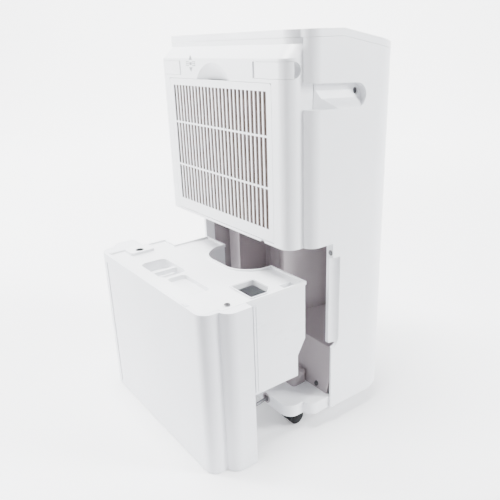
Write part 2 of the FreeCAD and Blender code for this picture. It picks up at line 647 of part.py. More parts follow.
def caster_axle(x, y):
    yw = y + TRAIL
    return cyl(AXLE_R, (x - 13.9, yw, WHEEL_R), (x + 13.9, yw, WHEEL_R))


# ================= inside =================
def make_coil(y0, y1):
    return box(-118, 118, y0, y1, 314, 508)


def make_coil_plates():
    return pair(box(118.3, 120.3, -26, 12, 313, 510))


def make_bends(y_mid, spread):
    """U-bends that join the tubes outside the two end plates."""
    bends = []
    for z in range(330, 500, 24):
        ring = Part.makeTorus(spread, 2.5, V(0, 0, 0), V(0, 1, 0)).common(box(0, 50, -20, 20, -30, 30))
        bends.append(ring.translated(V(120.4, y_mid, z)))
    half = Part.makeCompound(bends)
    return pair(half)


def make_coil_bends():
    return Part.makeCompound([make_bends(-15.5, 8.0), make_bends(4.0, 8.0)])


def make_drip_tray():
    outer = fuse([box(-126, 126, -27, 14, 305, 311.5), box(112, 138, 10, 72, 305, 311.5)])
    inner = fuse([box(-124, 124, -25, 12, 306.5, 320), box(114, 136, 8, 70, 306.5, 320)])
    spout = cyl(5.5, (125, 62, 301.5), (125, 62, 306))
    return fuse([outer.cut(inner), spout]).cut(cyl(4, (125, 62, 290), (125, 62, 330)))


def make_fan_scroll():
    y0, y1 = SCROLL_Y
    top = 560.0
    outer = fuse([cyl(SCROLL_R, (0, y0, FAN_Z), (0, y1, FAN_Z)),
                  box(-SCROLL_R, SCROLL_R, y0, y1, FAN_Z, top)])
    w = 2.5
    inner = fuse([cyl(SCROLL_R - w, (0, y0 + w, FAN_Z), (0, y1 - w, FAN_Z)),
                  box(w - SCROLL_R, SCROLL_R - w, y0 + w, y1 - w, FAN_Z, top + 5)])
    mouth = cyl(58, (0, y0 - 5, FAN_Z), (0, y0 + 5, FAN_Z))
    return cut(outer, inner, mouth, cyl(7, (0, y1 - 5, FAN_Z), (0, y1 + 5, FAN_Z)),
               box(-100, 100, 0, 100, 552, 600))


def make_impeller():
    y0, y1 = SCROLL_Y[0] + 6, SCROLL_Y[1] - 6
    ring = cyl(FAN_R, (0, y0, FAN_Z), (0, y0 + 3, FAN_Z)).cut(cyl(FAN_R - 14, (0, y0 - 1, FAN_Z),
                                                                  (0, y0 + 4, FAN_Z)))
    plate = cyl(FAN_R, (0, y1 - 3, FAN_Z), (0, y1, FAN_Z))
    hub = cyl(13, (0, y1 - 18, FAN_Z), (0, y1, FAN_Z))
    blade = box(FAN_R - 13, FAN_R - 1, y0 + 2, y1 - 2, -0.8, 0.8)
    blade.rotate(V(FAN_R - 7, 0, 0), V(0, 1, 0), 35)
    blades = []
    for i in range(BLADES):
        one = blade.copy()
        one.rotate(V(0, 0, 0), V(0, 1, 0), i * 360.0 / BLADES)
        blades.append(one.translated(V(0, 0, FAN_Z)))
    return fuse([ring, plate, hub] + blades).cut(cyl(SHAFT_R, (0, y1 - 18, FAN_Z), (0, y1 + 5, FAN_Z)))


def make_motor_shaft():
    return cyl(SHAFT_R, (0, SCROLL_Y[1] - 24, FAN_Z), (0, 110, FAN_Z))


def make_fan_motor():
    can = cyl(36, (0, 90, FAN_Z), (0, 134, FAN_Z))
    nose = cyl(14, (0, 87, FAN_Z), (0, 90, FAN_Z))
    return fuse([can, nose]).cut(cyl(SHAFT_R + FIT, (0, 80, FAN_Z), (0, 112, FAN_Z)))


def make_motor_bracket():
    plate = box(-60, 60, 82.4, 86.6, FAN_Z - 60, FAN_Z + 60)
    return plate.cut(cyl(30, (0, 80, FAN_Z), (0, 90, FAN_Z)))


def make_compressor():
    can = cyl(38, (NOTCH_X, 132, 52), (NOTCH_X, 132, 222))
    can = can.makeFillet(14, [e for e in can.Edges if abs(e.Length - 2 * math.pi * 38) < 0.1])
    plate = prism(rounded(NOTCH_X - 52, NOTCH_X + 52, 96, 166, 10), 46, 49)
    neck = cyl(24, (NOTCH_X, 132, 48), (NOTCH_X, 132, 56))
    return fuse([can, plate, neck])


def make_compressor_feet():
    feet = [cyl(8, (NOTCH_X + dx, 132 + dy, 34.2), (NOTCH_X + dx, 132 + dy, 45.8))
            for dx in (-42, 42) for dy in (-25, 25)]
    return Part.makeCompound(feet)


def make_accumulator():
    can = cyl(14, (84, 128, 60), (84, 128, 104))
    return can.makeFillet(5, [e for e in can.Edges if e.Length > 80])


def pipe(points, radius):
    """Pipe of straight runs with a ball at every turn."""
    runs = [cyl(radius, a, b) for a, b in zip(points, points[1:])]
    return fuse(runs + [ball(radius, p) for p in points[1:-1]])


def make_suction_pipe():
    return pipe([(84, 128, 104.2), (84, 128, 109), (110, 150, 109), (148, 150, 109), (148, 150, 330),
                 (148, -8, 330)], 4)


def make_discharge_pipe():
    return pipe([(-8, 152, 223), (-8, 152, 315), (-135, 152, 315), (-135, 6, 315), (-135, 6, 340)], 3)


def make_control_board():
    return box(-62, 62, 84, 138, 536, 537.6)


def make_capacitor():
    return cyl(17, (-118, 118, 330), (-118, 118, 392))


def make_drain_port():
    ring = cyl(8.4, (103, FACE_Y - 1.2, 38), (103, FACE_Y + 6, 38))
    return ring.cut(cyl(5.6, (103, -60, 38), (103, 0, 38)))


def make_drain_tube():
    drop = math.tan(math.radians(8.5))
    start, end = (103, FACE_Y - 34, 37 - 34 * drop), (103, FACE_Y + 20, 37 + 20 * drop)
    return cyl(2.7, start, end).cut(cyl(1.9, (103, FACE_Y - 40, 37 - 40 * drop),
                                        (103, FACE_Y + 30, 37 + 30 * drop)))


def make_cord_gland():
    body = fuse([cyl(6.9, (-112, FACE_Y - 0.2, 38), (-112, FACE_Y + 8, 38)),
                 cyl(9.5, (-112, FACE_Y - 2.2, 38), (-112, FACE_Y, 38))])
    return body.cut(cyl(3.6, (-112, -60, 38), (-112, 0, 38)))


def make_bay_screws():
    """Countersunk screws in the bay's rim and lower wall."""
    head = fuse([cyl(3.2, (170, RIM_Y - 1.0, 284), (170, RIM_Y, 284)),
                 cyl(1.6, (170, RIM_Y, 284), (170, RIM_Y + 8, 284))])
    return pair(head)


PARTS = {
    "main_shell": make_main_shell, "service_housing": make_service_housing, "top_cover": make_top_cover,
    "base_tray": make_base_tray, "bay_liner": make_bay_liner, "compressor_cover": make_compressor_cover,
    "bay_pedestal": make_pedestal, "tank_body": make_tank_body, "tank_lid": make_tank_lid,
    "tank_panel": make_tank_panel, "tank_float": make_float, "float_arm": make_float_arm,
    "float_bracket": make_float_bracket, "tank_screw": make_tank_screws, "filter_frame": make_filter_frame,
    "filter_mesh": make_filter_mesh, "cord_hook_right": make_hook,
    "cord_hook_left": lambda: mirror(make_hook()),
    "hook_pins": make_hook_pins, "outlet_louvre": make_louvre, "outlet_grille": make_outlet_grille,
    "control_panel": make_control_panel, "display_lens": make_display_lens,
    "evaporator": lambda: make_coil(-25.0, -6.0), "condenser": lambda: make_coil(-3.0, 11.0),
    "coil_end_plates": make_coil_plates, "coil_bends": make_coil_bends, "drip_tray": make_drip_tray,
    "fan_scroll": make_fan_scroll,
    "fan_impeller": make_impeller, "motor_shaft": make_motor_shaft, "fan_motor": make_fan_motor,
    "motor_bracket": make_motor_bracket, "compressor": make_compressor,
    "compressor_feet": make_compressor_feet,
    "accumulator": make_accumulator, "suction_pipe": make_suction_pipe,
    "discharge_pipe": make_discharge_pipe,
    "control_board": make_control_board, "run_capacitor": make_capacitor, "drain_port": make_drain_port,
    "drain_tube": make_drain_tube, "cord_gland": make_cord_gland, "bay_screws": make_bay_screws,
}
for place, spot in CASTERS.items():
    PARTS["caster_yoke_" + place] = lambda s=spot: caster_yoke(*s)
    PARTS["caster_wheels_" + place] = lambda s=spot: caster_wheels(*s)
    PARTS["caster_axle_" + place] = lambda s=spot: caster_axle(*s)
for number, spot in enumerate(BUTTON_XS, 1):
    PARTS["button_%d" % number] = lambda s=spot: make_button(s)


def main():
    os.makedirs("parts", exist_ok=True)
    for name, make in PARTS.items():
        shape = make()
        shape.exportStep(os.path.join("parts", name + ".step"))
        print("%-28s solids %2d  volume %10.0f  valid %s" % (name, len(shape.Solids), shape.Volume,
                                                             shape.isValid()))


main()
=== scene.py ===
"""Looks for the dehumidifier: softened CAD nodes, extra fittings, materials, studio and camera."""
import math

import bmesh
import bpy
from mathutils import Matrix, Vector


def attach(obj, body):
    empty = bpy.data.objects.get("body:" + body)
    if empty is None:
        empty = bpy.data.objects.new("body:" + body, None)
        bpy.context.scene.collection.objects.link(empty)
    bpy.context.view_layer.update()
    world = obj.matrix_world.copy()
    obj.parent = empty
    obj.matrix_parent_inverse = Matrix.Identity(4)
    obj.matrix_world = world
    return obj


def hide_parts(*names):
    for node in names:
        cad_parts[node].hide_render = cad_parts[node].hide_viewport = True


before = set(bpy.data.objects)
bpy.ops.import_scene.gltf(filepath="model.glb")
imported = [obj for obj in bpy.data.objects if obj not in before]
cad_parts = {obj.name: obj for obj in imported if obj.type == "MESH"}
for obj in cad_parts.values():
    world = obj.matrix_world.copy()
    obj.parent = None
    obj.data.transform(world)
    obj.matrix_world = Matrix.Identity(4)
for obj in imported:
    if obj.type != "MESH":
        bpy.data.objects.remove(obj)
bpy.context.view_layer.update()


# Places on the machine, in metres in the frame's own axes.
TOP = 0.5775
TOP_BREAK = 0.045
SLOPE = math.atan(0.19)
RIM_SCREW = (0.170, 0.03245, 0.284)
WALL_SCREW = (0.1405, 0.0344, 0.054)
LID_SCREW = (0.147, -0.130, 0.2463)
CORD_MARK = (-0.062, -0.0370, 0.5375)
FLOAT_HOLE = (-0.113, -0.128, 0.2470)
PANEL_SLOT = (-0.1345, -0.1763, 0.1202)
HAND_RECESS = (0.1592, 0.0795, 0.500)
DRAIN_END = (0.103, -0.071, 0.03192)
CASTERS = {"rear_left": (-0.131, -0.014), "rear_right": (0.131, -0.014),
           "front_left": (-0.128, 0.128), "front_right": (0.128, 0.128)}
WHEEL_TRAIL = 0.005
WHEEL_Z = 0.0125
BUTTON_X = (-0.060, -0.036, 0.036, 0.060)
BUTTON_Y = 0.103
LAMP_Y = 0.1165
PRINT = 0.00012

# The camera: where it stands, how it is turned in degrees, and its lens in millimetres.
CAMERA_AT = (0.7010, -0.4867, 0.5667)
AZIMUTH, ELEVATION, ROLL = 54.41, 20.47, -2.11
LENS = 40.39
SENSOR = 36


# ---------------------------------------------------------------- materials
class Nodes:
    """Small helper around one material's node tree."""

    def __init__(self, name, metallic=0.0):
        self.mat = bpy.data.materials.new(name)
        self.mat.use_nodes = True
        self.tree = self.mat.node_tree
        self.bsdf = self.tree.nodes["Principled BSDF"]
        self.bsdf.inputs["Metallic"].default_value = metallic
        self.coord = self.add("ShaderNodeTexCoord")

    def add(self, kind, **values):
        node = self.tree.nodes.new(kind)
        for key, value in values.items():
            setattr(node, key, value)
        return node

    def link(self, a, b):
        self.tree.links.new(a, b)

    def noise(self, scale, detail=4.0, stretch=(1, 1, 1), seed=(0, 0, 0)):
        mapping = self.add("ShaderNodeMapping")
        mapping.inputs["Scale"].default_value = stretch
        mapping.inputs["Location"].default_value = seed
        self.link(self.coord.outputs["Object"], mapping.inputs["Vector"])
        tex = self.add("ShaderNodeTexNoise")
        tex.inputs["Scale"].default_value = scale
        tex.inputs["Detail"].default_value = detail
        self.link(mapping.outputs["Vector"], tex.inputs["Vector"])
        return tex.outputs["Fac"]

    def wave(self, scale, direction):
        tex = self.add("ShaderNodeTexWave", bands_direction=direction)
        tex.inputs["Scale"].default_value = scale
        self.link(self.coord.outputs["Object"], tex.inputs["Vector"])
        return tex.outputs["Fac"]

    def spread(self, value, low, high, at=(0.3, 0.7)):
        node = self.add("ShaderNodeMapRange")
        node.inputs["From Min"].default_value = at[0]
        node.inputs["From Max"].default_value = at[1]
        node.inputs["To Min"].default_value = low
        node.inputs["To Max"].default_value = high
        self.link(value, node.inputs["Value"])
        return node.outputs["Result"]

    def mix(self, factor, a, b):
        node = self.add("ShaderNodeMix", data_type="RGBA")
        for socket, value in ((node.inputs[6], a), (node.inputs[7], b)):
            if isinstance(value, tuple):
                socket.default_value = (*value, 1.0)
            else:
                self.link(value, socket)
        self.link(factor, node.inputs[0])
        return node.outputs[2]

    def math(self, operation, a, b):
        node = self.add("ShaderNodeMath", operation=operation)
        for socket, value in zip(node.inputs, (a, b)):
            if isinstance(value, (int, float)):
                socket.default_value = value
            else:
                self.link(value, socket)
        return node.outputs[0]

    def pointiness(self):
        return self.add("ShaderNodeNewGeometry").outputs["Pointiness"]

    def bump(self, height, strength, distance, under=None):
        node = self.add("ShaderNodeBump")
        node.inputs["Strength"].default_value = strength
        node.inputs["Distance"].default_value = distance
        self.link(height, node.inputs["Height"])
        if under is not None:
            self.link(under, node.inputs["Normal"])
        return node.outputs["Normal"]

    def finish(self, color, roughness, normal):
        self.link(color, self.bsdf.inputs["Base Color"])
        self.link(roughness, self.bsdf.inputs["Roughness"])
        self.link(normal, self.bsdf.inputs["Normal"])
        return self.mat


def shade(color, factor):
    return tuple(c * factor for c in color)


def plastic(name, color, rough=0.38, grain=1500, depth=0.10, tint=0.96, worn=0.03, specular=0.5, coat=0.0):
    """Moulded plastic: slow tone drift, spark-eroded grain, painted shade darkening the dips in random
    patches, rubbed edges.
    """
    n = Nodes(name)
    slow = n.spread(n.noise(9, 3), 0, 1)
    patches = n.spread(n.noise(60, 6, seed=(3, 1, 2)), 0, 1, (0.45, 0.8))
    base = n.mix(slow, color, shade(color, tint))
    # Painted shade: concave creases darkened towards 0.62 of the colour, in random patches.
    crease_shade = n.spread(n.pointiness(), 0.35, 0.0, (0.42, 0.49))
    base = n.mix(n.math("MULTIPLY", crease_shade, patches), base, shade(color, 0.62))
    edge = n.spread(n.pointiness(), 0.0, worn * 8, (0.52, 0.6))
    base = n.mix(n.math("MULTIPLY", edge, patches), base, shade(color, 1.08))
    fine = n.noise(grain, 2)
    smear = n.spread(n.noise(22, 5, (1, 1, 3), (5, 2, 1)), rough * 0.86, rough * 1.18)
    scratch = n.spread(n.noise(300, 2, (1, 1, 14), (1, 7, 4)), 0, 0.05, (0.6, 0.75))
    ripple = n.bump(n.noise(5, 1), 0.10, 0.0008)
    n.bsdf.inputs["Specular IOR Level"].default_value = specular
    n.bsdf.inputs["Coat Weight"].default_value = coat
    n.bsdf.inputs["Coat Roughness"].default_value = 0.12
    return n.finish(base, n.math("ADD", smear, scratch), n.bump(fine, depth, 0.00012, ripple))


def metal(name, color, rough=0.32, stretch=(1, 1, 18), fine=260, tarnish=(0.3, 0.24, 0.2), amount=0.3):
    n = Nodes(name, 1.0)
    drawn = n.noise(fine, 4, stretch)
    spots = n.spread(n.noise(55, 6, seed=(2, 2, 2)), 0, amount, (0.5, 0.75))
    base = n.mix(n.spread(drawn, 0, 1), color, shade(color, 0.82))
    base = n.mix(spots, base, tarnish)
    wear = n.spread(n.pointiness(), 0.0, 0.5, (0.52, 0.62))
    base = n.mix(wear, base, shade(color, 1.15))
    roughness = n.math("ADD", n.spread(drawn, rough * 0.8, rough * 1.25), n.spread(spots, 0, 0.12, (0, 1)))
    return n.finish(base, roughness, n.bump(drawn, 0.15, 0.0001))


def rubber(name, color, rough=0.62):
    n = Nodes(name)
    n.bsdf.inputs["Specular IOR Level"].default_value = 0.2
    dust = n.spread(n.noise(35, 6), 0, 0.12, (0.5, 0.75))
    scuff = n.spread(n.noise(220, 3, (1, 6, 6)), 0, 0.4, (0.55, 0.7))
    base = n.mix(dust, color, (0.20, 0.19, 0.18))
    base = n.mix(n.math("MULTIPLY", scuff, dust), base, (0.34, 0.33, 0.31))
    roughness = n.spread(n.noise(80, 4), rough * 0.85, rough * 1.1)
    return n.finish(base, roughness, n.bump(n.noise(900, 3), 0.25, 0.0002))


def filter_net(name):
    """Fine woven net with lint caught in it; the darker squares between the threads are painted shade of the
    coil behind.
    """
    n = Nodes(name)
    weave = n.math("MAXIMUM", n.wave(230, "X"), n.wave(230, "Z"))
    lint = n.spread(n.noise(38, 7), 0, 0.55, (0.5, 0.74))
    # Dark between the threads: painted shade of the coil seen through the net.
    base = n.mix(n.spread(weave, 0, 1, (0.55, 0.95)), (0.040, 0.026, 0.024), (0.17, 0.115, 0.10))
    base = n.mix(lint, base, (0.25, 0.20, 0.18))
    n.bsdf.inputs["Sheen Weight"].default_value = 0.15
    return n.finish(base, n.spread(n.noise(120, 3), 0.7, 0.95), n.bump(weave, 0.6, 0.0004))


def finned(name, pitch_scale=95):
    n = Nodes(name, 1.0)
    fins = n.wave(pitch_scale, "X")
    # Dark bands between the fins are painted shade in the gaps; the light bands are the fins.
    base = n.mix(n.spread(fins, 0, 1), (0.20, 0.20, 0.21), (0.72, 0.73, 0.75))
    base = n.mix(n.spread(n.noise(30, 6), 0, 0.5, (0.5, 0.8)), base, (0.45, 0.42, 0.38))
    return n.finish(base, n.spread(n.noise(90, 4), 0.3, 0.5), n.bump(fins, 0.9, 0.0012))


def circuit(name):
    n = Nodes(name)
    cells = n.add("ShaderNodeTexVoronoi", feature="DISTANCE_TO_EDGE")
    cells.inputs["Scale"].default_value = 160
    n.link(n.coord.outputs["Object"], cells.inputs["Vector"])
    tracks = n.spread(cells.outputs["Distance"], 1, 0, (0.03, 0.07))
    base = n.mix(tracks, (0.03, 0.17, 0.08), (0.08, 0.34, 0.16))
    return n.finish(base, n.spread(n.noise(60, 3), 0.3, 0.45), n.bump(tracks, 0.5, 0.0002))


WHITE = (0.83, 0.84, 0.865)
M = {
    "shell": plastic("shell_white", WHITE),
    "housing": plastic("housing_white", (0.84, 0.85, 0.87), 0.40, 1400, 0.11),
    # Bay lining: grey plastic, darkened further to paint the shade that falls in the bay under the tank and
    # housing.
    "liner": plastic("bay_lining_painted_shade", (0.34, 0.302, 0.318), 0.50, 1100, 0.12, 0.93),
    "tank": plastic("tank_panel_white", (0.80, 0.81, 0.845), 0.36, 1500, 0.10),
    "tub": plastic("tank_tub", (0.80, 0.81, 0.84), 0.30, 700, 0.05, 0.94, coat=0.2),
    "lid": plastic("tank_lid_white", (0.84, 0.85, 0.87), 0.34, 1200, 0.08),
    "grey": plastic("inner_grey", (0.38, 0.39, 0.41), 0.5, 800, 0.15, 0.88),
    "mark": plastic("grey_print", (0.20, 0.205, 0.22), 0.45, 900, 0.05),
    "black": plastic("caster_black", (0.006, 0.006, 0.007), 0.5, 900, 0.15, 1.25, specular=0.2),
    "gloss": plastic("control_gloss", (0.035, 0.037, 0.042), 0.16, 2200, 0.02, 1.1, coat=0.5),
    "lens": plastic("display_black", (0.012, 0.014, 0.018), 0.10, 2500, 0.01, 1.2, coat=0.6),
    "cap": plastic("button_cap", (0.82, 0.83, 0.85), 0.28, 1500, 0.05),
    "wheel": rubber("wheel_tread", (0.006, 0.006, 0.007)),
    "rubber": rubber("rubber_black", (0.018, 0.018, 0.018), 0.7),
    "net": filter_net("filter_net"),
    "fins": finned("coil_fins"),
    "board": circuit("circuit_board"),
    "steel": metal("steel_brushed", (0.24, 0.24, 0.25)),
    "screw": metal("screw_zinc", (0.13, 0.13, 0.135), 0.36, (6, 6, 6), 500),
    "copper": metal("copper_tube", (0.74, 0.40, 0.25), 0.3, (8, 8, 8), 200, (0.25, 0.16, 0.12), 0.6),
    "enamel": plastic("compressor_enamel", (0.02, 0.02, 0.022), 0.34, 400, 0.2, 1.3, coat=0.3),
    # Outlet grille: near-black, painting the shade inside the air outlet.
    "outlet_shade": plastic("outlet_grille_painted_shade", (0.10, 0.10, 0.11), 0.6, 500, 0.1),
}

NODE_MATERIAL = {
    "main_shell": "shell", "service_housing": "housing", "top_cover": "shell", "base_tray": "shell",
    "filter_frame": "housing", "cord_hook_right": "housing", "cord_hook_left": "housing",
    "outlet_louvre": "shell",
    "bay_liner": "liner", "compressor_cover": "liner", "bay_pedestal": "liner", "drain_port": "liner",
    "tank_panel": "tank", "tank_body": "tub", "tank_lid": "lid", "tank_float": "cap", "float_arm": "cap",
    "float_bracket": "lid", "filter_mesh": "net", "control_panel": "gloss", "display_lens": "lens",
    "evaporator": "fins", "condenser": "fins", "coil_end_plates": "steel", "coil_bends": "copper",
    "suction_pipe": "copper", "discharge_pipe": "copper", "accumulator": "copper", "compressor": "enamel",
    "compressor_feet": "rubber", "cord_gland": "rubber", "drip_tray": "grey", "fan_scroll": "grey",
    "fan_impeller": "grey", "outlet_grille": "outlet_shade", "run_capacitor": "grey", "fan_motor": "steel",
    "motor_bracket": "steel", "motor_shaft": "steel", "control_board": "board", "drain_tube": "steel",
    "bay_screws": "screw", "tank_screw": "screw", "hook_pins": "screw",
}


def material_for(node):
    if node.startswith("button_"):
        return M["cap"]
    if node.startswith("caster_wheels"):
        return M["wheel"]
    if node.startswith("caster_yoke"):
        return M["black"]
    if node.startswith("caster_axle"):
        return M["steel"]
    return M[NODE_MATERIAL[node]]


# Edge radius of each casing, in metres; every other node takes FINE_EDGE.
EDGE = {"main_shell": 0.0007, "service_housing": 0.0010, "top_cover": 0.0014, "base_tray": 0.0012,
        "bay_liner": 0.0012, "tank_panel": 0.0009, "tank_lid": 0.0006, "tank_body": 0.0009,
        "filter_frame": 0.0003, "bay_pedestal": 0.0015, "outlet_louvre": 0.0006,
        "cord_hook_right": 0.0006, "cord_hook_left": 0.0006}
FINE_EDGE = 0.0004
SHARP = {"fan_impeller", "filter_mesh", "control_board", "coil_bends", "evaporator", "condenser"}


def soften(obj, width):
    """Round the CAD edges a little, as a mould would."""
    bevel = obj.modifiers.new("soft_edges", "BEVEL")
    bevel.width = width
    bevel.segments = 2
    bevel.limit_method = "ANGLE"
    bevel.angle_limit = math.radians(38)
    bevel.harden_normals = True


def smooth_by_angle(obj, degrees=35.0):
    mesh = obj.data
    mesh.polygons.foreach_set("use_smooth", [True] * len(mesh.polygons))
    mesh.set_sharp_from_angle(angle=math.radians(degrees))


for node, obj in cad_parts.items():
    obj.data.materials.clear()
    obj.data.materials.append(material_for(node))
    smooth_by_angle(obj)
    if node not in SHARP:
        soften(obj, EDGE.get(node, FINE_EDGE))


# ---------------------------------------------------------------- pieces in mesh code
def add_mesh(name, bm, material, body, smooth=30.0):
    mesh = bpy.data.meshes.new(name)
    bmesh.ops.recalc_face_normals(bm, faces=bm.faces)
    bm.to_mesh(mesh)
    bm.free()
    obj = bpy.data.objects.new(name, mesh)
    bpy.context.collection.objects.link(obj)
    mesh.materials.append(material)
    smooth_by_angle(obj, smooth)
    if body is not None:
        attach(obj, body)
    return obj


def frame_at(origin, normal, spin=0.0):
    """Matrix whose +Z is the given direction."""
    turn = Vector((0, 0, 1)).rotation_difference(Vector(normal).normalized())
    return Matrix.Translation(origin) @ turn.to_matrix().to_4x4() @ Matrix.Rotation(spin, 4, "Z")


def lathe(bm, profile, place, segments=40):
    """Turn (radius, height) points round the local Z axis; a closed outline when both ends meet the axis."""
    rings = []
    for radius, height in profile:
        if radius < 1e-7:
            rings.append([bm.verts.new(place @ Vector((0, 0, height)))])
            continue
        step = 2 * math.pi / segments
        angles = [i * step for i in range(segments)]
        rings.append([bm.verts.new(place @ Vector((radius * math.cos(a), radius * math.sin(a), height)))
                      for a in angles])
    for a, b in zip(rings, rings[1:]):
        for i in range(segments):
            j = (i + 1) % segments
            loop = [a[i % len(a)], a[j % len(a)], b[j % len(b)], b[i % len(b)]]
            unique = list(dict.fromkeys(loop))
            if len(unique) > 2:
                bm.faces.new(unique)


def slab(bm, outline, z0, z1, place, inset=0.0):
    """Extrude an (x, y) outline from z0 to z1 in the local frame, its top edge drawn in a little."""
    cx = sum(p[0] for p in outline) / len(outline)
    cy = sum(p[1] for p in outline) / len(outline)
    size = max(max(abs(p[0] - cx), abs(p[1] - cy)) for p in outline)
    k = 1 - inset / size
    levels = [(1.0, z0), (1.0, z1 - inset), (k, z1)]
    rings = [[bm.verts.new(place @ Vector((cx + (x - cx) * s, cy + (y - cy) * s, z))) for x, y in outline]
             for s, z in levels]
    count = len(outline)
    for a, b in zip(rings, rings[1:]):
        for i in range(count):
            j = (i + 1) % count
            bm.faces.new([a[i], a[j], b[j], b[i]])
    bm.faces.new(rings[0])
    bm.faces.new(rings[-1])


def rounded_rect(w, h, r, steps=5, cx=0.0, cy=0.0):
    points = []
    for k, (sx, sy) in enumerate(((1, 1), (-1, 1), (-1, -1), (1, -1))):
        for i in range(steps + 1):
            a = math.radians(90 * k + 90 * i / steps)
            points.append((cx + sx * (w / 2 - r) + r * math.cos(a), cy + sy * (h / 2 - r) + r * math.sin(a)))
    return points


def cross_screw(name, origin, normal, radius, body):
    """Pan head with a real cross recess: four wedges of the head left round two slots."""
    bm = bmesh.new()
    place = frame_at(origin, normal, 0.35)
    head = [(0, 0.0003), (radius * 0.62, 0.0003), (radius * 0.62, 0.0002), (radius, 0.0002),
            (radius, 0.0007), (radius * 0.9, 0.00115), (radius * 0.62, 0.0014),
            (radius * 0.60, 0.0006), (0, 0.0005)]
    lathe(bm, head, place)
    wedge = [(radius * 0.12, -0.0001), (radius * 0.6, -radius * 0.46), (radius * 0.72, 0),
             (radius * 0.6, radius * 0.46), (radius * 0.12, 0.0001)]
    for k in range(4):
        quarter = Matrix.Rotation(math.pi / 4 + k * math.pi / 2, 4, "Z")
        slab(bm, wedge, 0.0004, 0.00142, place @ quarter, 0.0001)
    return add_mesh(name, bm, M["screw"], body)


def bay_screw(name, seat, side, normal, radius):
    x, y, z = seat
    return cross_screw(name, (side * x, y, z), normal, radius, "cabinet")


for side, label in ((1, "right"), (-1, "left")):
    bay_screw("rim_screw_" + label, RIM_SCREW, side, (0, -1, 0), 0.0040)
    bay_screw("wall_screw_" + label, WALL_SCREW, side, (0, -1, 0.3), 0.0042)
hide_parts("bay_screws")
lid_screw = cross_screw("lid_screw", LID_SCREW, (0, 0, 1), 0.0042, "tank")
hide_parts("tank_screw")


def arrow_mark():
    """Plain raised mark that shows where the cord is wound: a double arrow between bars."""
    bm = bmesh.new()
    place = Matrix.Translation(CORD_MARK) @ Matrix.Rotation(math.pi / 2, 4, "X")
    up = [(-0.0048, 0.0052), (0.0048, 0.0052), (0, 0.0118)]
    slab(bm, up, -0.0004, 0.00025, place, 0.00005)
    slab(bm, [(x, -y) for x, y in reversed(up)], -0.0004, 0.00025, place, 0.00005)
    for y in (-0.0026, 0.0, 0.0026):
        for x in (-0.0115, -0.0070, 0.0070, 0.0115):
            slab(bm, rounded_rect(0.0032, 0.0013, 0.0003, 2, x, y), -0.0004, 0.00025, place, 0.00005)
    slab(bm, rounded_rect(0.0064, 0.0040, 0.0006, 2), -0.0004, 0.00025, place, 0.00005)
    return add_mesh("cord_mark", bm, M["mark"], "cabinet")


arrow_mark()


# wheels: crowned treads, dished hub caps
def wheel_caps(label, x, y):
    bm = bmesh.new()
    cap = [(0, 0.0001), (0.0086, 0.0001), (0.0090, 0.0003), (0.0086, 0.0007), (0.0040, 0.0010), (0, 0.0013)]
    for side in (-1, 1):
        face = x + side * 0.0136
        place = frame_at((face, y + WHEEL_TRAIL, WHEEL_Z), (side, 0, 0))
        lathe(bm, cap, place, 36)
    add_mesh("wheel_caps_" + label, bm, M["black"], "wheels_" + label)


def wheel_tread(label, x, y):
    bm = bmesh.new()
    for side in (-1, 1):
        for k in range(28):
            turn = Matrix.Rotation(2 * math.pi * k / 28, 4, "X")
            place = Matrix.Translation((x + side * 0.0080, y + WHEEL_TRAIL, WHEEL_Z)) @ turn
            slab(bm, rounded_rect(0.0078, 0.0010, 0.0003, 2), 0.0115, 0.01248, place, 0.0001)
    add_mesh("wheel_tread_" + label, bm, M["wheel"], "wheels_" + label)


for label, (cx, cy) in CASTERS.items():
    wheel_caps(label, cx, cy)
    wheel_tread(label, cx, cy)


# controls: printed marks on the buttons, indicator lamps beside them, bars behind the lens
def on_slope(x, y, lift=0.0):
    spot = Vector((x, y, TOP - (y - TOP_BREAK) * math.tan(SLOPE)))
    turn = Matrix.Rotation(-SLOPE, 4, "X")
    return Matrix.Translation(spot) @ turn @ Matrix.Translation((0, 0, lift))


def ring(bm, place, r0, r1, z0, z1, segments=40):
    lathe(bm, [(r0, z0), (r1, z0), (r1, z1), (r0, z1), (r0, z0)], place, segments)


def bar_icon(bm, place):
    slab(bm, rounded_rect(0.0009, 0.0042, 0.0004, 3), 0, PRINT, place)


def waves_icon(bm, place):
    for dy in (-0.0013, 0, 0.0013):
        slab(bm, rounded_rect(0.0044, 0.0006, 0.00028, 3, 0, dy), 0, PRINT, place)


def dots_icon(bm, place):
    for k in range(3):
        a = math.radians(90 + 120 * k)
        dot = rounded_rect(0.0013, 0.0013, 0.0006, 4, 0.0018 * math.cos(a), 0.0018 * math.sin(a))
        slab(bm, dot, 0, PRINT, place)


def cross_icon(bm, place):
    for turn in (0, math.pi / 2):
        slab(bm, rounded_rect(0.0044, 0.0007, 0.0003, 3), 0, PRINT, place @ Matrix.Rotation(turn, 4, "Z"))


def button_prints():
    icons = (bar_icon, waves_icon, dots_icon, cross_icon)
    for number, (x, icon) in enumerate(zip(BUTTON_X, icons), 1):
        bm = bmesh.new()
        place = on_slope(x, BUTTON_Y, 0.00155)
        ring(bm, place, 0.0042, 0.0047, 0, PRINT)
        icon(bm, place)
        add_mesh("button_print_%d" % number, bm, M["mark"], "button_%d_body" % number)


def indicator_lamps():
    bm = bmesh.new()
    dome = [(0, 0), (0.0009, 0), (0.0009, 0.0002), (0.0006, 0.0004), (0, 0.00045)]
    for x in BUTTON_X + (-0.0045, 0.0, 0.0045):
        lathe(bm, dome, on_slope(x, LAMP_Y, 0.0001), 20)
    add_mesh("indicator_lamps", bm, M["cap"], "cabinet")


def display_bars():
    bm = bmesh.new()
    for dx in (-0.009, -0.003, 0.003, 0.009):
        for dy in (-0.0032, 0.0, 0.0032):
            bar = rounded_rect(0.0036, 0.0007, 0.0003, 2, dx, dy)
            slab(bm, bar, 0.00035, 0.00046, on_slope(0, BUTTON_Y), 0.00003)
    add_mesh("display_bars", bm, M["mark"], "cabinet")


button_prints()
indicator_lamps()
display_bars()


